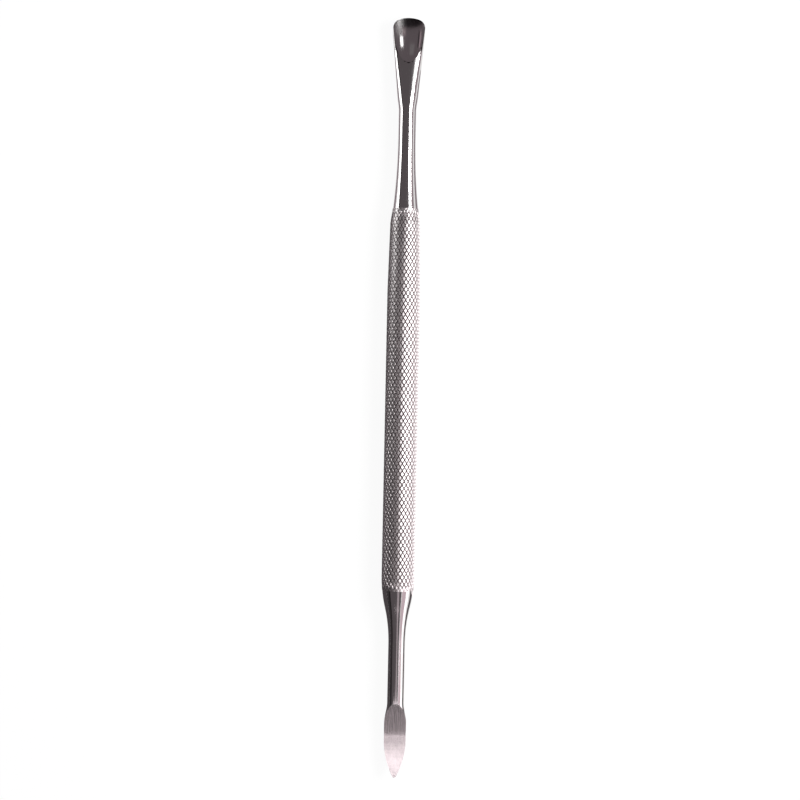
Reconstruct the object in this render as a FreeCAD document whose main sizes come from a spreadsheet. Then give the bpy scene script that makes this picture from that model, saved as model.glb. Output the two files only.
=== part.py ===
"""Double-ended periosteal elevator, one solid piece of stainless steel, lengths in millimetres.

A broad dished spoon and a narrow pointed leaf stand at the two ends of a bar turned from solid.
The bar is thickest along the grip, which carries a diamond knurl. The tool lies along X, leaf tip
at -X and spoon tip at +X, working faces up, and rests on the crests of its knurl.
"""
import FreeCAD, Part
import math
import os
import re
import Sketcher

Vector = FreeCAD.Vector

# Driving dimensions. A lift is how far the middle of an end stands above the axis of the bar.
SIZES = {
    # leaf end
    "leaf_length": 16.7,
    "leaf_width": 4.9,
    "leaf_widest_from_tip": 8.4,
    "leaf_tip_radius": 0.45,
    "leaf_heel_narrowing": 0.25,
    "leaf_spread_length": 4.2,
    "leaf_end_thickness": 0.8,
    "leaf_end_lift": 1.15,
    "leaf_face_depth": 0.35,
    "leaf_face_run_in_radius": 14.0,
    "leaf_face_flat_length": 0.8,
    "leaf_face_curl_radius": 42.0,
    # shank that carries the leaf
    "leaf_shank_diameter": 3.8,
    "leaf_shank_length": 13.3,
    "leaf_taper_length": 14.5,
    "leaf_taper_radius": 35.0,
    # grip, measured over the crests of its knurl
    "grip_diameter": 7.4,
    "grip_length": 64.5,
    "grip_shoulder_diameter": 6.7,
    "grip_shoulder_length": 15.0,
    # shank that carries the spoon
    "spoon_taper_length": 19.0,
    "spoon_shank_diameter": 4.0,
    "spoon_shank_length": 6.4,
    # spoon end
    "spoon_length": 20.6,
    "spoon_width": 7.16,
    "spoon_tip_radius": 6.0,
    "spoon_corner_radius": 2.2,
    "spoon_heel_width": 4.2,
    "spoon_spread_length": 3.0,
    "spoon_end_thickness": 1.1,
    "spoon_end_lift": 0.5,
    "dish_from_tip": 3.0,
    "dish_depth": 0.5,
    "dish_long_radius": 14.0,
    "dish_cross_radius": 6.0,
    # diamond knurl, rolled, so its crests rise above the turned blank
    "knurl_starts": 20,
    "knurl_pitch": 1.85,
    "knurl_depth": 0.32,
    "knurl_rise": 0.1,
    "knurl_edge_step": 0.03,
    "knurl_fade_length": 2.4,
    "knurl_run_out_leaf": 2.6,
    "knurl_run_out_spoon": 3.2,
    # steel that each blank carries beyond its finished sides, and how far it runs past its tip
    "grind_allowance": 0.1,
    "cut_overrun": 2.0,
}

# Places and radii that follow from them. X counts from the leaf tip towards the spoon tip.
DERIVED = {
    "leaf_taper_start": "leaf_length + leaf_shank_length",
    "grip_start": "leaf_taper_start + leaf_taper_length",
    "grip_end": "grip_start + grip_length",
    "shoulder_end": "grip_end + grip_shoulder_length",
    "spoon_taper_end": "shoulder_end + spoon_taper_length",
    "spoon_start": "spoon_taper_end + spoon_shank_length",
    "overall_length": "spoon_start + spoon_length",
    "knurl_start": "grip_start - knurl_run_out_leaf",
    "knurl_end": "shoulder_end + knurl_run_out_spoon",
    "shank_radius": "leaf_shank_diameter / 2",
    "spoon_shank_radius": "spoon_shank_diameter / 2",
    "blank_radius": "grip_diameter / 2 - knurl_rise",
    "shoulder_radius": "grip_shoulder_diameter / 2 - knurl_rise",
    # the leaf shank swells into the grip in two arcs that meet on the line between their far ends
    "leaf_swell": "blank_radius - shank_radius",
    "leaf_arcs_radius": "(leaf_taper_length ^ 2 + leaf_swell ^ 2) / (2 * leaf_swell)",
    "leaf_arc_share": "leaf_taper_radius / leaf_arcs_radius",
    "leaf_arcs_meet_x": "leaf_taper_start + leaf_taper_length * leaf_arc_share",
    "leaf_arcs_meet_y": "shank_radius + leaf_swell * leaf_arc_share",
    # the spoon's shank swells into the grip's shoulder in one arc
    "spoon_swell": "shoulder_radius - spoon_shank_radius",
    "spoon_taper_radius": "(spoon_taper_length ^ 2 + spoon_swell ^ 2) / (2 * spoon_swell)",
    # the leaf's sides are arcs that run into a small round tip
    "leaf_half": "leaf_width / 2",
    "leaf_heel_width": "leaf_width - leaf_heel_narrowing",
    # the leaf's blank passes its finished width where the sides begin to close in
    "leaf_flare": "leaf_width + 2 * grind_allowance - leaf_heel_width",
    "leaf_end_width": "leaf_heel_width"
    " + leaf_flare * (leaf_length + cut_overrun) / (leaf_length - leaf_widest_from_tip)",
    "leaf_side_run": "leaf_widest_from_tip - leaf_tip_radius",
    "leaf_side_radius": "(leaf_side_run ^ 2 + leaf_half ^ 2 - leaf_tip_radius ^ 2)"
    " / (2 * (leaf_half - leaf_tip_radius))",
    "leaf_tip_share": "leaf_tip_radius / (leaf_side_radius - leaf_tip_radius)",
    "leaf_tip_meet_x": "leaf_tip_radius - leaf_side_run * leaf_tip_share",
    "leaf_tip_meet_y": "(leaf_side_radius - leaf_half) * leaf_tip_share",
    # the leaf's ground face falls from the top of the shank, runs level and curls up to the tip
    "leaf_face_fall": "shank_radius + leaf_face_depth",
    "leaf_face_level_end": "leaf_length"
    " - sqrt(2 * leaf_face_run_in_radius * leaf_face_fall - leaf_face_fall ^ 2)",
    "leaf_face_level_start": "leaf_face_level_end - leaf_face_flat_length",
    "leaf_face_curl_end": "leaf_face_curl_radius - leaf_face_depth"
    " - sqrt(leaf_face_curl_radius ^ 2 - (leaf_face_level_start + cut_overrun) ^ 2)",
    # the spoon's front edge is a shallow arc between two tighter corners
    "spoon_half": "spoon_width / 2",
    "spoon_tip_centre": "overall_length - spoon_tip_radius",
    "spoon_corner_y": "spoon_half - spoon_corner_radius",
    "spoon_corner_run": "sqrt((spoon_tip_radius - spoon_corner_radius) ^ 2 - spoon_corner_y ^ 2)",
    "spoon_corner_x": "spoon_tip_centre + spoon_corner_run",
    # the spoon's blank passes its finished width where the corners begin
    "spoon_flare": "spoon_width + 2 * grind_allowance - spoon_heel_width",
    "spoon_end_width": "spoon_heel_width"
    " + spoon_flare * (spoon_length + cut_overrun) / (spoon_corner_x - spoon_start)",
    "spoon_tip_share": "spoon_tip_radius / (spoon_tip_radius - spoon_corner_radius)",
    "spoon_tip_meet_x": "spoon_tip_centre + spoon_corner_run * spoon_tip_share",
    "spoon_tip_meet_y": "spoon_corner_y * spoon_tip_share",
    # the dish is cut by a barrel that is rounder across the spoon than along it
    "dish_edge_radius": "dish_long_radius - dish_cross_radius"
    " + sqrt(dish_cross_radius ^ 2 - spoon_half ^ 2)",
}

doc = FreeCAD.newDocument("periosteal_elevator")
sheet = doc.addObject("Spreadsheet::Sheet", "Sizes")
cells = list(SIZES.items()) + [(alias, "=" + formula) for alias, formula in DERIVED.items()]
for row, (alias, content) in enumerate(cells, start=1):
    sheet.set(f"A{row}", alias)
    sheet.set(f"B{row}", str(content))
    sheet.setAlias(f"B{row}", alias)
doc.recompute()


def size(alias):
    """The number that a cell of the sheet holds."""
    return float(sheet.get(alias))


def value(formula):
    """What a formula on aliases comes to, worked out by the sheet in a spare cell."""
    sheet.set("D1", "=" + formula)
    sheet.recompute()
    return float(sheet.get("D1"))


def on_sheet(formula):
    """A formula on aliases, written the way an object outside the sheet names them."""
    known = dict(cells)
    return re.sub(r"[a-z_]+", lambda word: f"Sizes.{word[0]}" if word[0] in known else word[0], formula)


blank = doc.addObject("PartDesign::Body", "Blank")


def new_sketch(name, role, **offset):
    """A sketch on one of the blank's origin planes, moved off it by a formula for each axis given."""
    sketch = blank.newObject("Sketcher::SketchObject", name)
    plane = next(f for f in blank.Origin.OriginFeatures if f.Role == role)
    sketch.AttachmentSupport = [(plane, "")]
    sketch.MapMode = "FlatFace"
    for axis, formula in offset.items():
        sketch.setExpression(f".AttachmentOffset.Base.{axis}", on_sheet(formula))
    return sketch


# how a sketch names the two ends and the centre of an edge, its own origin and its upright axis
START, END, CENTRE = 1, 2, 3
ORIGIN = (-1, 1)
UPRIGHT_AXIS = -2

# an end is drawn out in this many even steps; these shares of its spreading and of its thinning
# are eased, and it rises by this power of the way along it
DRAWN_STEPS = 14
SPREAD_EASE = 0.35
THINNING_EASE = 0.2
LIFT_POWER = 4


def bind(sketch, formula, kind, *where):
    """A dimension of a sketch that follows a formula on the sheet."""
    index = sketch.addConstraint(Sketcher.Constraint(kind, *where, value(formula)))
    sketch.setExpression(f"Constraints[{index}]", on_sheet(formula))


def arc_between(start, end, radius):
    """The shorter arc from start to end. A positive radius bulges to the left of the way there."""
    chord = end - start
    left = Vector(-chord.y, chord.x, 0).normalize()
    sagitta = abs(radius) - math.sqrt(radius**2 - (chord.Length / 2) ** 2)
    return Part.Arc(start, (start + end) / 2 + left * math.copysign(sagitta, radius), end)


def nearer_end(sketch, edge, point):
    """Which end of an edge lies at a point: an arc's ends run anticlockwise, whatever its outline."""
    return min((START, END), key=lambda end: sketch.getPoint(edge, end).distanceToPoint(point))


def outline(sketch, corners, radii):
    """A closed outline through corners given as formulas, with arcs on the edges numbered in radii."""
    points = [Vector(value(x), value(y), 0) for x, y in corners]
    edges = []
    for i, start in enumerate(points):
        end = points[(i + 1) % len(points)]
        edge = arc_between(start, end, value(radii[i])) if i in radii else Part.LineSegment(start, end)
        edges.append(sketch.addGeometry(edge, False))
    for i, (edge, point) in enumerate(zip(edges, points)):
        here = nearer_end(sketch, edge, point)
        there = nearer_end(sketch, edges[i - 1], point)
        sketch.addConstraint(Sketcher.Constraint("Coincident", edges[i - 1], there, edge, here))
        bind(sketch, corners[i][0], "DistanceX", *ORIGIN, edge, here)
        bind(sketch, corners[i][1], "DistanceY", *ORIGIN, edge, here)
    for i, radius in radii.items():
        bind(sketch, radius.lstrip("-"), "Radius", edges[i])


def halves(sketch, whole, half_circle):
    """Both halves of a closed curve, so that a loft's seams run along its top and its underside."""
    quarter = math.pi / 2
    right = sketch.addGeometry(half_circle(whole, -quarter, quarter), False)
    left = sketch.addGeometry(half_circle(whole, quarter, 3 * quarter), False)
    for half, other in ((right, left), (left, right)):
        sketch.addConstraint(Sketcher.Constraint("Coincident", half, CENTRE, *ORIGIN))
        sketch.addConstraint(Sketcher.Constraint("Coincident", half, END, other, START))
        sketch.addConstraint(Sketcher.Constraint("PointOnObject", half, END, UPRIGHT_AXIS))
    return right, left


def section(name, station, width, thickness, lift):
    """An oval across the bar at a station along it, its middle lifted off the bar's axis."""
    sketch = new_sketch(name, "YZ_Plane", y=lift, z=station)
    side, top = Vector(value(width) / 2, 0, 0), Vector(0, value(thickness) / 2, 0)
    right, left = halves(sketch, Part.Ellipse(side, top, Vector(0, 0, 0)), Part.ArcOfEllipse)
    sketch.addConstraint(Sketcher.Constraint("Equal", right, left))
    for half in (right, left):
        across = sketch.GeometryCount
        sketch.exposeInternalGeometry(half)
        sketch.addConstraint(Sketcher.Constraint("Horizontal", across))
    bind(sketch, width, "Distance", across)
    bind(sketch, thickness, "Distance", across + 1)
    return sketch


def round_section(name, station, diameter):
    """A circle across the bar, where a loft grows out of it."""
    sketch = new_sketch(name, "YZ_Plane", z=station)
    circle = Part.Circle(Vector(0, 0, 0), Vector(0, 0, 1), value(diameter) / 2)
    right, left = halves(sketch, circle, Part.ArcOfCircle)
    sketch.addConstraint(Sketcher.Constraint("Equal", right, left))
    bind(sketch, diameter, "Diameter", right)
    return sketch


def climb(share, ease_in, ease_out=0.0):
    """A rise from 0 to 1 that is even but for a smooth start and a smooth end."""
    share = min(share, 1.0)
    slope = 1 / (1 - ease_in / 2 - ease_out / 2)
    if share < ease_in:
        return slope * share**2 / (2 * ease_in)
    if share > 1 - ease_out:
        return 1 - slope * (1 - share) ** 2 / (2 * ease_out)
    return slope * (share - ease_in / 2)


def drawn_end(end, root, far):
    """The blank of the leaf or the spoon: ovals at even steps, from its shank to past its tip.

    Within a short length it spreads to the width of its heel, and from there it widens evenly. It
    thins evenly all the way, and rises mostly near its tip. Each oval runs straight to the next.
    """
    name = end.capitalize()
    spread = size(f"{end}_spread_length") / abs(value(f"{far} - ({root})"))
    sections = [round_section(name + "Root", root, f"{end}_shank_diameter")]
    for i in range(1, DRAWN_STEPS + 1):
        share = i / DRAWN_STEPS
        spreading = climb(share / spread, SPREAD_EASE, SPREAD_EASE)
        thinning = climb(share, THINNING_EASE)
        sections.append(
            section(
                f"{name}Oval{i}",
                f"{root} + ({far} - ({root})) * {share:.6f}",
                f"{end}_shank_diameter + ({end}_heel_width - {end}_shank_diameter) * {spreading:.6f}"
                f" + ({end}_end_width - {end}_heel_width) * {share:.6f}",
                f"{end}_shank_diameter + ({end}_end_thickness - {end}_shank_diameter) * {thinning:.6f}",
                f"{end}_end_lift * {share**LIFT_POWER:.6f}",
            )
        )
    drawn = blank.newObject("PartDesign::AdditiveLoft", name + "Blank")
    drawn.Profile = sections[0]
    drawn.Sections = sections[1:]
    drawn.Ruled = True


def cut_through(name, sketch):
    """Take away all that a sketch covers, to both sides of it."""
    feature = blank.newObject("PartDesign::Pocket", name)
    feature.Profile = sketch
    feature.Type = "ThroughAll"
    feature.Midplane = True
    return feature


# The turned bar between the two ends: a shank, the grip with its long shoulder, and a shank.
bar_profile = new_sketch("BarProfile", "XZ_Plane")
outline(
    bar_profile,
    [
        ("leaf_length", "0"),
        ("leaf_length", "shank_radius"),
        ("leaf_taper_start", "shank_radius"),
        ("leaf_arcs_meet_x", "leaf_arcs_meet_y"),
        ("grip_start", "blank_radius"),
        ("grip_end", "blank_radius"),
        ("shoulder_end", "shoulder_radius"),
        ("spoon_taper_end", "spoon_shank_radius"),
        ("spoon_start", "spoon_shank_radius"),
        ("spoon_start", "0"),
    ],
    {2: "-leaf_taper_radius", 3: "leaf_arcs_radius - leaf_taper_radius", 6: "-spoon_taper_radius"},
)
bar = blank.newObject("PartDesign::Revolution", "Bar")
bar.Profile = bar_profile
bar.ReferenceAxis = (bar_profile, ["H_Axis"])

# The leaf: the shank is spread, drawn thin and raised towards its tip.
drawn_end("leaf", "leaf_length", "-cut_overrun")

# Its face is ground down from the top of the shank, and its two sides to a small round point.
face_profile = new_sketch("LeafFaceProfile", "XZ_Plane")
outline(
    face_profile,
    [
        ("leaf_length", "shank_radius"),
        ("leaf_face_level_end", "-leaf_face_depth"),
        ("leaf_face_level_start", "-leaf_face_depth"),
        ("-cut_overrun", "leaf_face_curl_end"),
        ("-cut_overrun", "shank_radius + cut_overrun"),
        ("leaf_length", "shank_radius + cut_overrun"),
    ],
    {0: "leaf_face_run_in_radius", 2: "leaf_face_curl_radius"},
)
cut_through("LeafFace", face_profile)

leaf_plan = new_sketch("LeafPlan", "XY_Plane")
outline(
    leaf_plan,
    [
        ("leaf_widest_from_tip", "leaf_half"),
        ("leaf_tip_meet_x", "leaf_tip_meet_y"),
        ("leaf_tip_meet_x", "-leaf_tip_meet_y"),
        ("leaf_widest_from_tip", "-leaf_half"),
        ("leaf_length", "-leaf_half"),
        ("leaf_length", "-leaf_half - cut_overrun"),
        ("-2 * cut_overrun", "-leaf_half - cut_overrun"),
        ("-2 * cut_overrun", "leaf_half + cut_overrun"),
        ("leaf_length", "leaf_half + cut_overrun"),
        ("leaf_length", "leaf_half"),
    ],
    {0: "-leaf_side_radius", 1: "-leaf_tip_radius", 2: "-leaf_side_radius"},
)
cut_through("LeafSides", leaf_plan)

# The spoon: the other shank widens as far as the corners of the front edge, and thins to the end.
drawn_end("spoon", "spoon_start", "overall_length + cut_overrun")

# Its face is dished by a barrel that turns about a line across the spoon, above it.
dish_profile = new_sketch(
    "DishProfile",
    "YZ_Plane",
    y="dish_long_radius - dish_depth",
    z="overall_length - dish_from_tip",
)
outline(
    dish_profile,
    [
        ("-spoon_half", "0"),
        ("-spoon_half", "-dish_edge_radius"),
        ("spoon_half", "-dish_edge_radius"),
        ("spoon_half", "0"),
    ],
    {1: "-dish_cross_radius"},
)
dish = blank.newObject("PartDesign::Groove", "Dish")
dish.Profile = dish_profile
dish.ReferenceAxis = (dish_profile, ["H_Axis"])

spoon_plan = new_sketch("SpoonPlan", "XY_Plane")
outline(
    spoon_plan,
    [
        ("spoon_corner_x", "spoon_half"),
        ("spoon_tip_meet_x", "spoon_tip_meet_y"),
        ("spoon_tip_meet_x", "-spoon_tip_meet_y"),
        ("spoon_corner_x", "-spoon_half"),
        ("spoon_start", "-spoon_half"),
        ("spoon_start", "-spoon_half - cut_overrun"),
        ("overall_length + 2 * cut_overrun", "-spoon_half - cut_overrun"),
        ("overall_length + 2 * cut_overrun", "spoon_half + cut_overrun"),
        ("spoon_start", "spoon_half + cut_overrun"),
        ("spoon_start", "spoon_half"),
    ],
    {0: "spoon_corner_radius", 1: "spoon_tip_radius", 2: "spoon_corner_radius"},
)
cut_through("SpoonFrontEdge", spoon_plan)
doc.recompute()

# The stretch of bar that the knurl takes up.
knurl_zone = doc.addObject("Part::Cylinder", "KnurlZone")
knurl_zone.setExpression("Radius", on_sheet("grip_diameter"))
knurl_zone.setExpression("Height", on_sheet("knurl_end - knurl_start"))
knurl_zone.setExpression("Placement.Base.x", on_sheet("knurl_start"))
knurl_zone.Placement.Rotation = FreeCAD.Rotation(Vector(0, 0, 1), Vector(1, 0, 0))

plain_ends = doc.addObject("Part::Cut", "PlainEnds")
plain_ends.Base = blank
plain_ends.Tool = knurl_zone
doc.recompute()


def blank_radius_at(x):
    """How thick the turned bar is at a place along it, read from its own profile."""
    upright = Part.makeLine(Vector(x, 0, size("shank_radius") / 2), Vector(x, 0, size("grip_diameter")))
    edges = bar_profile.Shape.Edges
    _, near, _ = min((upright.distToShape(edge) for edge in edges), key=lambda found: found[0])
    return near[0][0].z


def knurl_radii(x):
    """Radius of the crests and of the groove crossings at x; the grooves die out at both ends."""
    to_end = min(x - size("knurl_start"), size("knurl_end") - x)
    share = min(1.0, max(0.0, to_end / size("knurl_fade_length")))
    edge = blank_radius_at(x) + size("knurl_edge_step")
    crest = edge + share * (size("knurl_rise") - size("knurl_edge_step"))
    return crest, crest - share * size("knurl_depth")


def knurl_band():
    """A closed skin of four-sided diamonds whose corners are the crossings of the rolled grooves.

    The diamonds stand in rings half a pitch apart. Each ring is turned by half a step against
    the last, so that four triangles from a crest to its crossings leave no gap.
    """
    starts = round(size("knurl_starts"))
    rows = max(1, round((size("knurl_end") - size("knurl_start")) / size("knurl_pitch")))
    half_pitch = (size("knurl_end") - size("knurl_start")) / (2 * rows)
    step = 2 * math.pi / starts
    stations = [size("knurl_start") + i * half_pitch for i in range(2 * rows + 1)]
    radii = [knurl_radii(x) for x in stations]

    def crest_angle(i, k):
        # straight down lies midway between the crests of one ring and those of the next
        return -math.pi / 2 + (k + (0.25 if i % 2 else -0.25)) * step

    def point(i, angle, which):
        radius = radii[i][which]
        return Vector(stations[i], radius * math.cos(angle), radius * math.sin(angle))

    def facet(*corners):
        return Part.Face(Part.makePolygon([*corners, corners[0]]))

    facets = []
    for i in range(len(stations)):
        for k in range(starts):
            angle = crest_angle(i, k)
            crest = point(i, angle, 0)
            left, right = point(i, angle - step / 2, 1), point(i, angle + step / 2, 1)
            if i > 0:
                back = point(i - 1, angle, 1)
                facets += [facet(crest, back, left), facet(crest, right, back)]
            if i + 1 < len(stations):
                ahead = point(i + 1, angle, 1)
                facets += [facet(crest, left, ahead), facet(crest, ahead, right)]
    for i in (0, len(stations) - 1):
        ring = []
        for k in range(starts):
            angle = crest_angle(i, k)
            ring += [point(i, angle, 0), point(i, angle + step / 2, 1)]
        facets.append(facet(*ring))

    band = Part.Solid(Part.Shell(facets))
    if band.Volume < 0:
        band.reverse()
    return band


knurl = doc.addObject("Part::Feature", "KnurlBand")
knurl.Shape = knurl_band()

elevator = doc.addObject("Part::MultiFuse", "PeriostealElevator")
elevator.Shapes = [plain_ends, knurl]
elevator.Label = "periosteal_elevator"
elevator.Refine = False

# It lies on two neighbouring rings of crests, with its length centred on the origin.
facet_angle = math.pi / (2 * round(size("knurl_starts")))
rest_height = size("grip_diameter") / 2 * math.cos(facet_angle)
elevator.Placement = FreeCAD.Placement(
    Vector(-size("overall_length") / 2, 0, rest_height), FreeCAD.Rotation()
)
doc.recompute()

faults = [o.Label for o in doc.Objects if {"Invalid", "Error"} & set(o.State)]
if faults:
    raise RuntimeError(f"not rebuilt: {faults}")
parts = [elevator]
for part in parts:
    if part.Shape.isNull() or not part.Shape.isValid() or len(part.Shape.Solids) != 1:
        raise RuntimeError(f"{part.Label} is not one sound solid")

os.makedirs("parts", exist_ok=True)
for part in parts:
    part.Shape.exportStep(f"parts/{part.Label}.step")
    print(f"{part.Label}: {part.Shape.Volume:.0f} cubic mm, {len(part.Shape.Faces)} faces")
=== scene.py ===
"""A double-ended periosteal elevator of stainless steel, seen from above as it lies.

The grip is rolled with a diamond knurl, the shanks and the spoon are polished, and the leaf's face
is ground. Lengths are metres. X runs along the instrument, leaf at -X and spoon at +X.
"""

import math

import bpy
from mathutils import Matrix, Vector


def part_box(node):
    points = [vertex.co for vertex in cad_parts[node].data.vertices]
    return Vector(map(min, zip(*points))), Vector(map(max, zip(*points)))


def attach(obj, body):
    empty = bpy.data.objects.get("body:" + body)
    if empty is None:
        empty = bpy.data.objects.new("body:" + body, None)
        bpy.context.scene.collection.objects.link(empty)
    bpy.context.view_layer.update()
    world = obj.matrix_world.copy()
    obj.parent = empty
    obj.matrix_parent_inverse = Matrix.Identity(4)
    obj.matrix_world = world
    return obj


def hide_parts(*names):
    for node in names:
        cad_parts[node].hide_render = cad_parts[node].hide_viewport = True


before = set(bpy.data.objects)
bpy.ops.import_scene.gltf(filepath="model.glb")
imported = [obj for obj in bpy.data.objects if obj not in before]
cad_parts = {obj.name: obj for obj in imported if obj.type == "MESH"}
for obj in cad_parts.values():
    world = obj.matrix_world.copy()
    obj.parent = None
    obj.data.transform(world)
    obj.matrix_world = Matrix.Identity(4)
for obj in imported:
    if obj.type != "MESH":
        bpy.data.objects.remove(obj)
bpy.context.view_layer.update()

# The camera looks straight down on the instrument through a long lens. The spoon points up in the
# picture, and leans to the right.
NODE = "periosteal_elevator"
low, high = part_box(NODE)
leaf_tip_x = low.x
spoon_tip_x = high.x
axis_z = (low.z + high.z) / 2
CAMERA_DISTANCE = 0.45
CAMERA_ROLL = math.radians(1.17)
FRAME_WIDTH = 0.17904
AIM = Vector((-0.00055, 0.00036, axis_z))

backward = Vector((0, 0, 1))
upward = Vector((math.cos(CAMERA_ROLL), math.sin(CAMERA_ROLL), 0))
rightward = upward.cross(backward)
camera_data = bpy.data.cameras.new("camera")
camera_data.angle = 2 * math.atan(FRAME_WIDTH / 2 / CAMERA_DISTANCE)
camera = bpy.data.objects.new("camera", camera_data)
camera_turn = Matrix((rightward, upward, backward)).transposed().to_4x4()
camera.matrix_world = Matrix.Translation(AIM + backward * CAMERA_DISTANCE) @ camera_turn
bpy.context.scene.collection.objects.link(camera)
bpy.context.scene.camera = camera
bpy.context.scene.view_settings.view_transform = "Standard"


# Materials are written as sums on the values that flow through them.
class Value:
    """A number on its way through a material's nodes."""

    def __init__(self, nodes, socket):
        self.nodes = nodes
        self.socket = socket

    def worked(self, operation, *numbers):
        return self.nodes.add("ShaderNodeMath", {"operation": operation}, numbers)

    def __add__(self, other):
        return self.worked("ADD", self, other)

    def __sub__(self, other):
        return self.worked("SUBTRACT", self, other)

    def __rsub__(self, other):
        return self.worked("SUBTRACT", other, self)

    def __mul__(self, other):
        return self.worked("MULTIPLY", self, other)

    __radd__ = __add__
    __rmul__ = __mul__


class Nodes:
    """The nodes of one material, or of the world."""

    def __init__(self, owner):
        owner.use_nodes = True
        self.tree = owner.node_tree
        self.tree.nodes.clear()

    def add(self, kind, settings, sockets, output=0):
        """A node, with its settings, then what its sockets hold, by place or by name."""
        node = self.tree.nodes.new(kind)
        for name, setting in settings.items():
            setattr(node, name, setting)
        for key, held in sockets.items() if isinstance(sockets, dict) else enumerate(sockets):
            if isinstance(held, Value):
                self.tree.links.new(held.socket, node.inputs[key])
            else:
                node.inputs[key].default_value = held
        return Value(self, node.outputs[output]) if len(node.outputs) > 0 else node


# The studio: white paper that goes on as a white background. What the metal shows of them is as
# white as they look, and the paper keeps a soft shadow.
FLOOR_HALF_SIZE = 1.2
FLOOR_SHADOW = 0.1
WORLD_LIGHT = 0.75
WHITE = (1, 1, 1, 1)


def white_where_seen(owner, plain_kind, plain_colour, white_kind, output_kind, white_share):
    """Plain light, but white in the picture and in what metal and glass show."""
    nodes = Nodes(owner)
    camera_ray = nodes.add("ShaderNodeLightPath", {}, {}, output="Is Camera Ray")
    glossy_ray = nodes.add("ShaderNodeLightPath", {}, {}, output="Is Glossy Ray")
    glass_ray = nodes.add("ShaderNodeLightPath", {}, {}, output="Is Transmission Ray")
    plain = nodes.add(plain_kind, {}, {"Color": plain_colour})
    white = nodes.add(white_kind, {}, {"Color": WHITE})
    seen = camera_ray * white_share + glossy_ray + glass_ray
    nodes.add(output_kind, {}, {"Surface": nodes.add("ShaderNodeMixShader", {}, [seen, plain, white])})


world = bpy.data.worlds.new("studio")
bpy.context.scene.world = world
white_where_seen(
    world,
    "ShaderNodeBackground",
    (WORLD_LIGHT, WORLD_LIGHT, WORLD_LIGHT, 1),
    "ShaderNodeBackground",
    "ShaderNodeOutputWorld",
    1.0,
)

bpy.ops.object.select_all(action="DESELECT")
bpy.ops.mesh.primitive_plane_add(size=2 * FLOOR_HALF_SIZE, location=(0, 0, low.z))
floor = bpy.context.object
floor.name = "floor"
paper = bpy.data.materials.new("white_paper")
white_where_seen(
    paper,
    "ShaderNodeBsdfDiffuse",
    (0.9, 0.9, 0.9, 1),
    "ShaderNodeEmission",
    "ShaderNodeOutputMaterial",
    1 - FLOOR_SHADOW,
)
floor.data.materials.append(paper)

# Cards round the instrument, which only the metal sees. An angle is counted from straight up
# towards the right side of the picture, round the axis of the bar.
CARDS = {
    # name: from angle, to angle, distance, from x, to x, colour
    "dark_overhead": (-58, 30, 0.25, -1.2, 1.2, (0.105, 0.092, 0.097)),
    "black_left_edge": (-69, -58, 0.25, -1.2, 1.2, (0.012, 0.01, 0.01)),
    "black_left": (-97, -69, 0.25, -1.2, 0.0665, (0.045, 0.04, 0.042)),
    "mauve_right": (55, 84, 0.25, 0.0665, 1.2, (0.33, 0.27, 0.29)),
    "bright_over_grip": (2, 54, 0.08, -0.05, 0.05, (2.0, 1.93, 1.95)),
    "bright_right_of_grip": (54, 104, 0.08, -0.05, 0.05, (1.5, 1.42, 1.44)),
    "grey_stripe": (-2, 12, 0.2, -1.2, -0.0615, (0.44, 0.38, 0.4)),
    "rose_right_of_leaf": (34, 66, 0.25, -1.2, -0.066, (0.68, 0.54, 0.58)),
    "bright_right_of_leaf": (70, 104, 0.25, -1.2, -0.066, (2.0, 1.85, 1.9)),
    "rose_over_leaf": (-30, 30, 0.045, -0.0828, -0.0752, (1.8, 1.6, 1.66)),
    "black_over_spoon": (-84, 84, 0.012, 0.0786, 0.0836, (0.008, 0.006, 0.007)),
    "dark_over_spoon": (-84, 84, 0.012, 0.0836, 0.14, (0.12, 0.1, 0.108)),
    "spark_over_spoon": (22, 32, 0.0115, 0.0852, 0.0876, (2.5, 2.5, 2.5)),
    "rose_over_spoon": (11, 24, 0.0118, 0.0838, 0.085, (0.24, 0.19, 0.2)),
    "rose_left_of_spoon": (-46, -41, 0.0118, 0.0845, 0.088, (0.4, 0.31, 0.34)),
    "black_left_of_spoon": (-39, -34, 0.0118, 0.0845, 0.088, (0.02, 0.015, 0.017)),
    "grey_over_spoon": (-22, -4, 0.0118, 0.087, 0.0925, (0.17, 0.155, 0.16)),
}
SHADES = {
    # the paper just beside the bar, name: from y, to y, from x, to x, colour
    "shade_right": (-0.019, -0.006, 0.042, 0.074, (0.3, 0.25, 0.27)),
    "shade_right_of_leaf": (-0.019, -0.006, -0.2, -0.043, (0.12, 0.1, 0.105)),
    "bright_right_of_grip_on_paper": (-0.08, -0.004, -0.045, 0.042, (1.4, 1.32, 1.34)),
    "shade_left": (0.006, 0.019, 0.042, 0.2, (0.3, 0.25, 0.27)),
    "dark_left_of_grip": (0.004, 0.2, -0.2, 0.042, (0.08, 0.07, 0.075)),
}
SHADE_HEIGHT = 0.0002


def round_the_bar(angle, distance):
    """A place beside the bar, at an angle from straight up towards the right of the picture."""
    turn = math.radians(angle)
    return Vector((0, -distance * math.sin(turn), axis_z + distance * math.cos(turn)))


CARD_FOLDS = 16


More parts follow.
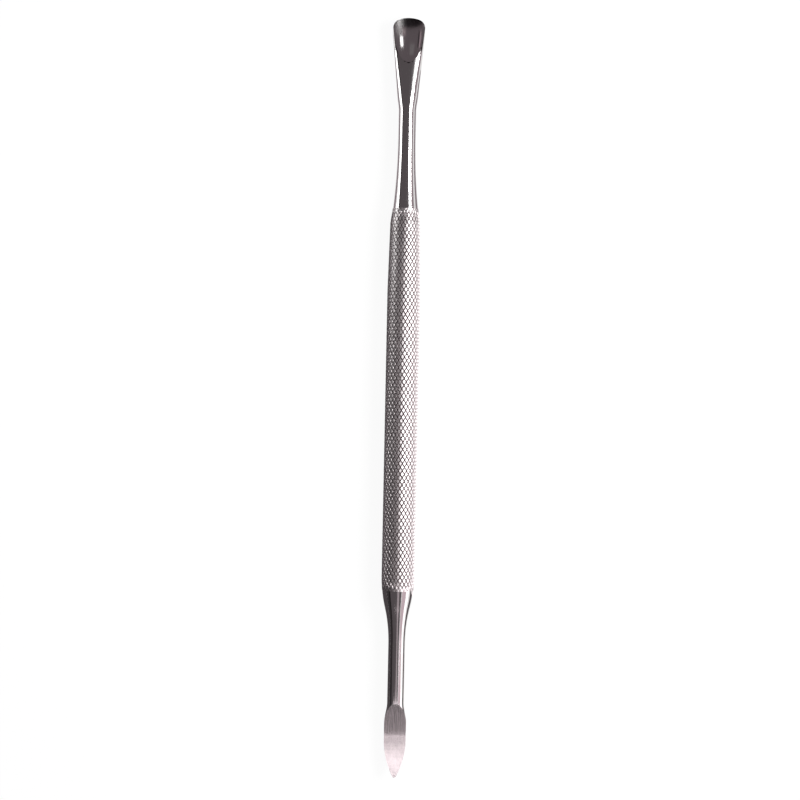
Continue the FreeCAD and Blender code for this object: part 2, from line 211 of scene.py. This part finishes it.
def card(name, colour, from_x, to_x, place_at):
    """A glowing card along the bar that only the metal sees, bent to where its edge goes."""
    bpy.ops.object.select_all(action="DESELECT")
    bpy.ops.mesh.primitive_grid_add(x_subdivisions=1, y_subdivisions=CARD_FOLDS, size=1)
    plane = bpy.context.object
    plane.name = name
    for corner in plane.data.vertices:
        x = to_x if corner.co.x > 0 else from_x
        corner.co = place_at(corner.co.y + 0.5) + Vector((x, 0, 0))
    paint = bpy.data.materials.new(name)
    nodes = Nodes(paint)
    light = nodes.add("ShaderNodeEmission", {}, {"Color": (*colour, 1)})
    nodes.add("ShaderNodeOutputMaterial", {}, {"Surface": light})
    plane.data.materials.append(paint)
    plane.visible_camera = False
    plane.visible_diffuse = False
    plane.visible_shadow = False
    plane.visible_transmission = False


for name, (from_angle, to_angle, distance, from_x, to_x, colour) in CARDS.items():
    sweep = to_angle - from_angle
    card(name, colour, from_x, to_x, lambda share: round_the_bar(from_angle + sweep * share, distance))
for name, (from_y, to_y, from_x, to_x, colour) in SHADES.items():
    height = low.z + SHADE_HEIGHT
    card(name, colour, from_x, to_x, lambda share: Vector((0, from_y + (to_y - from_y) * share, height)))

# Two soft lights: a long one on the right, and a small one on the left, beside the spoon.
LAMPS = {
    # name: angle, distance, x, length, width, radiance
    "light_right": (42.5, 0.35, 0.032, 0.214, 0.15, 12.0),
    "light_left": (-79, 0.24, 0.093, 0.054, 0.08, 2.5),
}
for name, (angle, distance, x, length, width, radiance) in LAMPS.items():
    lamp = bpy.data.lights.new(name, "AREA")
    lamp.shape = "RECTANGLE"
    lamp.size = length
    lamp.size_y = width
    lamp.energy = radiance * math.pi * length * width
    place = round_the_bar(angle, distance) + Vector((x, 0, 0))
    inward = (Vector((x, 0, axis_z)) - place).normalized()
    along = Vector((1, 0, 0))
    turn = Matrix((along, -inward.cross(along), -inward)).transposed().to_4x4()
    lit = bpy.data.objects.new(name, lamp)
    lit.matrix_world = Matrix.Translation(place) @ turn
    bpy.context.scene.collection.objects.link(lit)

# The turned bar: a shank, the grip with its long shoulder, and a shank. Its stations count from
# the leaf's tip, as on a drawing.
SHANK_RADIUS = 0.0019
LEAF_LENGTH = 0.0167
TAPER_START = 0.0300
TAPER_RADIUS = 0.035
GRIP_START = 0.0445
BLANK_RADIUS = 0.0036
GRIP_END = 0.109
SHOULDER_END = 0.124
SHOULDER_RADIUS = 0.00325
SPOON_TAPER_END = 0.143
SPOON_SHANK_RADIUS = 0.0020
SPOON_START = 0.1494
OVERALL_LENGTH = spoon_tip_x - leaf_tip_x
TURNED_FACETS = 96
SMOOTH_UP_TO = math.radians(32)

swell = BLANK_RADIUS - SHANK_RADIUS
taper_length = GRIP_START - TAPER_START
both_radii = (taper_length**2 + swell**2) / (2 * swell)
swell_meets = TAPER_START + taper_length * TAPER_RADIUS / both_radii
crown_radius = both_radii - TAPER_RADIUS
spoon_swell = SHOULDER_RADIUS - SPOON_SHANK_RADIUS
spoon_taper_length = SPOON_TAPER_END - SHOULDER_END
spoon_taper_radius = (spoon_taper_length**2 + spoon_swell**2) / (2 * spoon_swell)


def bar_radius(station):
    """How thick the turned bar is, without its knurl."""
    if station <= TAPER_START:
        return SHANK_RADIUS
    if station <= swell_meets:
        return SHANK_RADIUS + TAPER_RADIUS - math.sqrt(TAPER_RADIUS**2 - (station - TAPER_START) ** 2)
    if station <= GRIP_START:
        return BLANK_RADIUS - crown_radius + math.sqrt(crown_radius**2 - (GRIP_START - station) ** 2)
    if station <= GRIP_END:
        return BLANK_RADIUS
    if station <= SHOULDER_END:
        fall = (BLANK_RADIUS - SHOULDER_RADIUS) / (SHOULDER_END - GRIP_END)
        return BLANK_RADIUS - fall * (station - GRIP_END)
    if station <= SPOON_TAPER_END:
        rest = SPOON_TAPER_END - station
        return SPOON_SHANK_RADIUS + spoon_taper_radius - math.sqrt(spoon_taper_radius**2 - rest**2)
    return SPOON_SHANK_RADIUS


def climb(share, ease_in, ease_out=0.0):
    """A rise from 0 to 1 that is even but for a smooth start and a smooth end."""
    share = min(share, 1.0)
    slope = 1 / (1 - ease_in / 2 - ease_out / 2)
    if share < ease_in:
        return slope * share**2 / (2 * ease_in)
    if share > 1 - ease_out:
        return 1 - slope * (1 - share) ** 2 / (2 * ease_out)
    return slope * (share - ease_in / 2)


def drawn_out(name, rings):
    """A round bar extruded ring by ring: each ring is a station, half sizes and a lift."""
    bpy.ops.object.select_all(action="DESELECT")
    station, half_width, _, lift = rings[0]
    bpy.ops.mesh.primitive_circle_add(
        vertices=TURNED_FACETS,
        radius=half_width,
        fill_type="NGON",
        location=(leaf_tip_x + station, 0, axis_z + lift),
        rotation=(0, math.pi / 2, 0),
    )
    piece = bpy.context.object
    piece.name = name
    bpy.ops.object.transform_apply(location=True, rotation=True, scale=True)
    bpy.ops.object.mode_set(mode="EDIT")
    bpy.ops.mesh.select_all(action="SELECT")
    for (x, wide, tall, up), (next_x, next_wide, next_tall, next_up) in zip(rings, rings[1:]):
        step = {"value": (next_x - x, 0, next_up - up)}
        bpy.ops.mesh.extrude_region_move(TRANSFORM_OT_translate=step)
        bpy.ops.transform.resize(
            value=(1, next_wide / wide, next_tall / tall),
            center_override=(leaf_tip_x + next_x, 0, axis_z + next_up),
        )
    bpy.ops.mesh.select_all(action="SELECT")
    bpy.ops.mesh.normals_make_consistent(inside=False)
    bpy.ops.object.mode_set(mode="OBJECT")
    return piece


def arc(centre, radius, start, end, steps):
    """Points on an arc of a flat outline, from one angle in degrees to another."""
    turns = [math.radians(start + (end - start) * i / steps) for i in range(steps + 1)]
    return [centre + radius * Vector((math.cos(turn), math.sin(turn))) for turn in turns]


def prism(name, outline, face_at, depth):
    """A tool cut to an outline and pushed through by a depth."""
    bpy.ops.object.select_all(action="DESELECT")
    shape = bpy.data.meshes.new(name)
    corners = [face_at(point) for point in outline]
    shape.from_pydata(corners, [], [range(len(corners))])
    tool = bpy.data.objects.new(name, shape)
    bpy.context.scene.collection.objects.link(tool)
    bpy.context.view_layer.objects.active = tool
    tool.select_set(True)
    bpy.ops.object.mode_set(mode="EDIT")
    bpy.ops.mesh.select_all(action="SELECT")
    bpy.ops.mesh.extrude_region_move(TRANSFORM_OT_translate={"value": depth})
    bpy.ops.mesh.select_all(action="SELECT")
    bpy.ops.mesh.normals_make_consistent(inside=False)
    bpy.ops.object.mode_set(mode="OBJECT")
    return tool


def cut(piece, tool, operation):
    """The piece less the tool, or only what lies in both."""
    bpy.ops.object.select_all(action="DESELECT")
    bpy.context.view_layer.objects.active = piece
    piece.select_set(True)
    boolean = piece.modifiers.new(tool.name, "BOOLEAN")
    boolean.object = tool
    boolean.operation = operation
    boolean.solver = "EXACT"
    bpy.ops.object.modifier_apply(modifier=boolean.name)
    bpy.data.objects.remove(tool)


def finished(piece, *finishes):
    """The last steps of every piece: its finish, its smooth faces and its place in the frame."""
    bpy.ops.object.select_all(action="DESELECT")
    bpy.context.view_layer.objects.active = piece
    piece.select_set(True)
    bpy.ops.object.shade_smooth_by_angle(angle=SMOOTH_UP_TO)
    for finish in finishes:
        piece.data.materials.append(finish)
    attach(piece, "root")
    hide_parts(NODE)


# Polished steel, with the faint lengthwise haze that a buffing wheel leaves.
STEEL_COLOUR = (0.72, 0.7, 0.7, 1)
HAZE_SCALE = (60, 1600, 1600)
polished = bpy.data.materials.new("polished_steel")
nodes = Nodes(polished)
place = nodes.add("ShaderNodeTexCoord", {}, {}, output="Object")
stretched = nodes.add("ShaderNodeMapping", {}, {"Vector": place, "Scale": HAZE_SCALE})
haze = nodes.add("ShaderNodeTexNoise", {}, {"Vector": stretched, "Scale": 1.0, "Detail": 3.0})
ripples = nodes.add("ShaderNodeBump", {}, {"Strength": 0.06, "Distance": 0.00005, "Height": haze})
steel = nodes.add(
    "ShaderNodeBsdfPrincipled",
    {},
    {
        "Base Color": STEEL_COLOUR,
        "Metallic": 1.0,
        "Roughness": haze * 0.1 + 0.07,
        "Normal": ripples,
    },
)
nodes.add("ShaderNodeOutputMaterial", {}, {"Surface": steel})

# Ground steel: the wheel has left fine scratches along the leaf.
SCRATCH_SCALE = (150, 5000, 400)
ground = bpy.data.materials.new("ground_steel")
nodes = Nodes(ground)
place = nodes.add("ShaderNodeTexCoord", {}, {}, output="Object")
stretched = nodes.add("ShaderNodeMapping", {}, {"Vector": place, "Scale": SCRATCH_SCALE})
scratches = nodes.add("ShaderNodeTexNoise", {}, {"Vector": stretched, "Scale": 1.0, "Detail": 4.0})
grooves = nodes.add(
    "ShaderNodeBump",
    {},
    {"Strength": 0.6, "Distance": 0.00004, "Height": scratches},
)
steel = nodes.add(
    "ShaderNodeBsdfPrincipled",
    {},
    {
        "Base Color": STEEL_COLOUR,
        "Metallic": 1.0,
        "Roughness": scratches * 0.12 + 0.12,
        "Normal": grooves,
    },
)
nodes.add("ShaderNodeOutputMaterial", {}, {"Surface": steel})

# The leaf and its shank: one bar, spread and drawn thin towards the tip. Its face is ground hollow
# from above, and its sides run to a small round point.
LEAF_SPREAD_LENGTH = 0.0042
LEAF_HALF_WIDTH = 0.00245
LEAF_HEEL_HALF_WIDTH = 0.002325
LEAF_WIDEST = 0.0084
LEAF_TIP_RADIUS = 0.00045
LEAF_GRIND_ALLOWANCE = 0.0001
LEAF_END_HALF_THICKNESS = 0.0004
LEAF_END_LIFT = 0.00115
LEAF_OVERRUN = 0.002
FACE_DEPTH = 0.00035
FACE_RUN_IN_RADIUS = 0.014
FACE_FLAT_LENGTH = 0.0008
FACE_CURL_RADIUS = 0.042
KNURL_START = 0.0419
KNURL_HIDES = 0.0008
SPREAD_EASE = 0.35
THINNING_EASE = 0.2
LEAF_STEPS = 48
SHANK_STEP = 0.0007
# The tool that cuts the leaf's plan stands clear of the thicker shank.
LEAF_PLAN_CLEARANCE = 0.003
LEAF_PLAN_FLARE_START = 0.0005
LEAF_PLAN_FLARE_END = 0.002
PLAN_HALF_HEIGHT = 0.006
# How far a face has to look up, and lie below the shank's top, to be ground.
GROUND_LOOKS_UP = 0.75
GROUND_TOP_SHARE = 0.98


def turned_rings(start, end):
    """Rings along the turned bar, from one station to another."""
    steps = max(1, round(abs(end - start) / SHANK_STEP))
    stations = [start + (end - start) * i / steps for i in range(steps + 1)]
    return [(station, bar_radius(station), bar_radius(station), 0) for station in stations]


leaf_draw = LEAF_LENGTH + LEAF_OVERRUN
leaf_widening = (LEAF_HALF_WIDTH + LEAF_GRIND_ALLOWANCE - LEAF_HEEL_HALF_WIDTH) * leaf_draw
leaf_widening /= LEAF_LENGTH - LEAF_WIDEST
leaf_rings = turned_rings(KNURL_START + KNURL_HIDES, LEAF_LENGTH)
for i in range(1, LEAF_STEPS + 1):
    share = i / LEAF_STEPS
    spreading = climb(share * leaf_draw / LEAF_SPREAD_LENGTH, SPREAD_EASE, SPREAD_EASE)
    thinning = climb(share, THINNING_EASE)
    leaf_rings.append(
        (
            LEAF_LENGTH - share * leaf_draw,
            SHANK_RADIUS + (LEAF_HEEL_HALF_WIDTH - SHANK_RADIUS) * spreading + leaf_widening * share,
            SHANK_RADIUS + (LEAF_END_HALF_THICKNESS - SHANK_RADIUS) * thinning,
            LEAF_END_LIFT * share**4,
        )
    )
leaf = drawn_out("leaf", leaf_rings)

face_fall = SHANK_RADIUS + FACE_DEPTH
face_level_end = LEAF_LENGTH - math.sqrt(2 * FACE_RUN_IN_RADIUS * face_fall - face_fall**2)
face_level_start = face_level_end - FACE_FLAT_LENGTH
run_in_turn = math.degrees(math.asin((LEAF_LENGTH - face_level_end) / FACE_RUN_IN_RADIUS))
curl_turn = math.degrees(math.asin((face_level_start + 2 * LEAF_OVERRUN) / FACE_CURL_RADIUS))
run_in_centre = Vector((face_level_end, FACE_RUN_IN_RADIUS - FACE_DEPTH))
curl_centre = Vector((face_level_start, FACE_CURL_RADIUS - FACE_DEPTH))
face_outline = [
    *arc(run_in_centre, FACE_RUN_IN_RADIUS, run_in_turn - 90, -90, 24),
    *arc(curl_centre, FACE_CURL_RADIUS, -90, -90 - curl_turn, 16),
    Vector((-2 * LEAF_OVERRUN, 2 * face_fall)),
    Vector((LEAF_LENGTH, 2 * face_fall)),
]
face_tool = prism(
    "leaf_face",
    face_outline,
    lambda point: (leaf_tip_x + point.x, -2 * LEAF_HALF_WIDTH, axis_z + point.y),
    (0, 4 * LEAF_HALF_WIDTH, 0),
)
cut(leaf, face_tool, "DIFFERENCE")

side_run = LEAF_WIDEST - LEAF_TIP_RADIUS
side_narrowing = LEAF_HALF_WIDTH - LEAF_TIP_RADIUS
side_radius = (side_run**2 + LEAF_HALF_WIDTH**2 - LEAF_TIP_RADIUS**2) / (2 * side_narrowing)
side_centre_y = LEAF_HALF_WIDTH - side_radius
tip_turn = math.degrees(math.atan2(-side_centre_y, side_run))
half_outline = [
    Vector((KNURL_START + 2 * KNURL_HIDES, LEAF_HALF_WIDTH + LEAF_PLAN_CLEARANCE)),
    Vector((LEAF_LENGTH + LEAF_PLAN_FLARE_END, LEAF_HALF_WIDTH + LEAF_PLAN_CLEARANCE)),
    Vector((LEAF_LENGTH + LEAF_PLAN_FLARE_START, LEAF_HALF_WIDTH)),
    *arc(Vector((LEAF_WIDEST, side_centre_y)), side_radius, 90, 180 - tip_turn, 40),
    *arc(Vector((LEAF_TIP_RADIUS, 0)), LEAF_TIP_RADIUS, 180 - tip_turn, 180, 10)[1:],
]
leaf_outline = half_outline + [Vector((p.x, -p.y)) for p in reversed(half_outline[:-1])]
plan_tool = prism(
    "leaf_plan",
    leaf_outline,
    lambda point: (leaf_tip_x + point.x, point.y, axis_z - PLAN_HALF_HEIGHT),
    (0, 0, 2 * PLAN_HALF_HEIGHT),
)
cut(leaf, plan_tool, "INTERSECT")
finished(leaf, polished, ground)
for face in leaf.data.polygons:
    on_leaf = face.center.x - leaf_tip_x < LEAF_LENGTH
    below_top = face.center.z < axis_z + SHANK_RADIUS * GROUND_TOP_SHARE
    if on_leaf and below_top and face.normal.z > GROUND_LOOKS_UP:
        face.material_index = 1

# The spoon and its shank: the other end of the bar, widened to the corners of its front edge,
# thinned and dished.
SPOON_SPREAD_LENGTH = 0.003
SPOON_HALF_WIDTH = 0.00358
SPOON_HEEL_HALF_WIDTH = 0.0021
SPOON_TIP_RADIUS = 0.006
SPOON_CORNER_RADIUS = 0.0022
SPOON_GRIND_ALLOWANCE = 0.0001
SPOON_END_HALF_THICKNESS = 0.00055
SPOON_END_LIFT = 0.0005
SPOON_OVERRUN = 0.002
DISH_FROM_TIP = 0.003
DISH_DEPTH = 0.0005
DISH_LONG_RADIUS = 0.014
DISH_CROSS_RADIUS = 0.006
KNURL_END = 0.1272
SPOON_STEPS = 60
SPOON_PLAN_CLEARANCE = 0.001
SPOON_PLAN_FLARE_START = 0.006
SPOON_PLAN_FLARE_END = 0.008

corner_y = SPOON_HALF_WIDTH - SPOON_CORNER_RADIUS
corner_run = math.sqrt((SPOON_TIP_RADIUS - SPOON_CORNER_RADIUS) ** 2 - corner_y**2)
tip_centre = OVERALL_LENGTH - SPOON_TIP_RADIUS
spoon_draw = OVERALL_LENGTH + SPOON_OVERRUN - SPOON_START
spoon_widening = (SPOON_HALF_WIDTH + SPOON_GRIND_ALLOWANCE - SPOON_HEEL_HALF_WIDTH) * spoon_draw
spoon_widening /= tip_centre + corner_run - SPOON_START
spoon_rings = turned_rings(KNURL_END - KNURL_HIDES, SPOON_START)
for i in range(1, SPOON_STEPS + 1):
    share = i / SPOON_STEPS
    spreading = climb(share * spoon_draw / SPOON_SPREAD_LENGTH, SPREAD_EASE, SPREAD_EASE)
    thinning = climb(share, THINNING_EASE)
    spread = (SPOON_HEEL_HALF_WIDTH - SPOON_SHANK_RADIUS) * spreading
    spoon_rings.append(
        (
            SPOON_START + share * spoon_draw,
            SPOON_SHANK_RADIUS + spread + spoon_widening * share,
            SPOON_SHANK_RADIUS + (SPOON_END_HALF_THICKNESS - SPOON_SHANK_RADIUS) * thinning,
            SPOON_END_LIFT * share**4,
        )
    )
spoon = drawn_out("spoon", spoon_rings)

bpy.ops.object.select_all(action="DESELECT")
bpy.ops.mesh.primitive_torus_add(
    major_radius=DISH_LONG_RADIUS - DISH_CROSS_RADIUS,
    minor_radius=DISH_CROSS_RADIUS,
    major_segments=240,
    minor_segments=144,
    location=(spoon_tip_x - DISH_FROM_TIP, 0, axis_z + DISH_LONG_RADIUS - DISH_DEPTH),
    rotation=(math.pi / 2, 0, 0),
)
barrel = bpy.context.object
barrel.name = "dish"
cut(spoon, barrel, "DIFFERENCE")

corner_turn = math.degrees(math.atan2(corner_y, corner_run))
half_outline = [
    Vector((KNURL_END - 2 * KNURL_HIDES, SPOON_HALF_WIDTH + SPOON_PLAN_CLEARANCE)),
    Vector((tip_centre - SPOON_PLAN_FLARE_END, SPOON_HALF_WIDTH + SPOON_PLAN_CLEARANCE)),
    Vector((tip_centre - SPOON_PLAN_FLARE_START, SPOON_HALF_WIDTH)),
    *arc(Vector((tip_centre + corner_run, corner_y)), SPOON_CORNER_RADIUS, 90, corner_turn, 24),
    *arc(Vector((tip_centre, 0)), SPOON_TIP_RADIUS, corner_turn, 0, 20)[1:],
]
spoon_outline = half_outline + [Vector((p.x, -p.y)) for p in reversed(half_outline[:-1])]
plan_tool = prism(
    "spoon_plan",
    spoon_outline,
    lambda point: (leaf_tip_x + point.x, point.y, axis_z - PLAN_HALF_HEIGHT),
    (0, 0, 2 * PLAN_HALF_HEIGHT),
)
cut(spoon, plan_tool, "INTERSECT")
finished(spoon, polished)

# The knurl: rolled left-hand and right-hand grooves that cross and leave four-sided crests. Its
# crests stand a little proud of the blank, and it dies out over both tapers.
KNURL_STARTS = 24
KNURL_PITCH = 0.00159
KNURL_DEPTH = 0.00032
KNURL_RISE = 0.000087
KNURL_EDGE_STEP = 0.00003
KNURL_FADE = 0.0024
CREST_SHARE = 0.64
CREST_ROUNDING = 0.96
MERGE_DISTANCE = 0.000004

rows = round((KNURL_END - KNURL_START) / KNURL_PITCH)
half_pitch = (KNURL_END - KNURL_START) / (2 * rows)
half_step = math.pi / KNURL_STARTS


def crest_field(name, first_x, first_turn, count):
    """One diamond, on the flat and one high, repeated in rows and files."""
    bpy.ops.object.select_all(action="DESELECT")
    bpy.ops.mesh.primitive_grid_add(x_subdivisions=4, y_subdivisions=4, size=math.sqrt(2))
    field = bpy.context.object
    field.name = name
    field.rotation_euler.z = math.pi / 4
    bpy.ops.object.transform_apply(location=True, rotation=True, scale=True)
    for corner in field.data.vertices:
        out = abs(corner.co.x) + abs(corner.co.y)
        if out < 0.25:
            spread, height = 1.0, 1.0
        elif out < 0.75:
            spread, height = CREST_SHARE / 0.5, CREST_ROUNDING
        else:
            spread, height = 1.0, 0.0
        corner.co = (
            first_x + corner.co.x * spread * half_pitch,
            first_turn + corner.co.y * spread * half_step,
            height,
        )
    along = (2 * half_pitch, 0, 0)
    round_it = (0, 2 * half_step, 0)
    for step, repeats in ((along, count), (round_it, KNURL_STARTS)):
        array = field.modifiers.new("row", "ARRAY")
        array.count = repeats
        array.use_relative_offset = False
        array.use_constant_offset = True
        array.constant_offset_displace = step
        bpy.ops.object.modifier_apply(modifier=array.name)
    return field


knurl_x = leaf_tip_x + KNURL_START
knurl = crest_field("knurl", knurl_x, 0, rows + 1)
second = crest_field("knurl_between", knurl_x + half_pitch, half_step, rows)
bpy.ops.object.select_all(action="DESELECT")
second.select_set(True)
knurl.select_set(True)
bpy.context.view_layer.objects.active = knurl
bpy.ops.object.join()
bpy.ops.object.mode_set(mode="EDIT")
for trim_x, outwards in ((knurl_x, -1), (leaf_tip_x + KNURL_END, 1)):
    bpy.ops.mesh.select_all(action="SELECT")
    bpy.ops.mesh.bisect(plane_co=(trim_x, 0, 0), plane_no=(outwards, 0, 0), clear_outer=True)
bpy.ops.object.mode_set(mode="OBJECT")

height_of_crest = knurl.data.attributes.new("crest", "FLOAT", "POINT")
for corner, crest in zip(knurl.data.vertices, height_of_crest.data):
    x, turn, height = corner.co
    station = x - leaf_tip_x
    to_end = min(station - KNURL_START, KNURL_END - station)
    share = min(1.0, max(0.0, to_end / KNURL_FADE))
    top = bar_radius(station) + KNURL_EDGE_STEP + share * (KNURL_RISE - KNURL_EDGE_STEP)
    radius = top - share * KNURL_DEPTH * (1 - height)
    crest.value = height
    corner.co = (x, radius * math.cos(turn), axis_z + radius * math.sin(turn))
bpy.ops.object.mode_set(mode="EDIT")
bpy.ops.mesh.select_all(action="SELECT")
bpy.ops.mesh.remove_doubles(threshold=MERGE_DISTANCE)
bpy.ops.mesh.select_all(action="DESELECT")
bpy.ops.mesh.select_non_manifold()
bpy.ops.mesh.edge_face_add()
bpy.ops.mesh.select_all(action="SELECT")
bpy.ops.mesh.normals_make_consistent(inside=False)
bpy.ops.object.mode_set(mode="OBJECT")

# Satin steel of the knurl: dull from the rollers, and duller in the grooves, whose colour is darkened
# with painted shade.
GRAIN_SCALE = 9000.0
# Painted shade: the grooves get a darker colour than the crests.
GROOVE_PAINTED_SHADE = (0.2, 0.15, 0.16, 1)
CREST_COLOUR = (0.78, 0.755, 0.755, 1)
# The Mix node's two colours have no names of their own, so they are reached by place.
FIRST_COLOUR = 6
SECOND_COLOUR = 7
satin = bpy.data.materials.new("satin_steel")
nodes = Nodes(satin)
place = nodes.add("ShaderNodeTexCoord", {}, {}, output="Object")
grain = nodes.add("ShaderNodeTexNoise", {}, {"Vector": place, "Scale": GRAIN_SCALE, "Detail": 2.0})
crest = nodes.add("ShaderNodeAttribute", {"attribute_name": "crest"}, {}, output="Fac")
dent = nodes.add("ShaderNodeBump", {}, {"Strength": 0.15, "Distance": 0.00003, "Height": grain})
# The colour runs from the painted groove shade at the bottom of a groove to the crest colour at the top.
shade = nodes.add(
    "ShaderNodeMix",
    {"data_type": "RGBA"},
    {"Factor": crest, FIRST_COLOUR: GROOVE_PAINTED_SHADE, SECOND_COLOUR: CREST_COLOUR},
    output=2,
)
steel = nodes.add(
    "ShaderNodeBsdfPrincipled",
    {},
    {
        "Base Color": shade,
        "Metallic": 1.0,
        "Roughness": 0.5 - 0.15 * crest + 0.06 * grain,
        "Normal": dent,
    },
)
nodes.add("ShaderNodeOutputMaterial", {}, {"Surface": steel})
finished(knurl, satin)
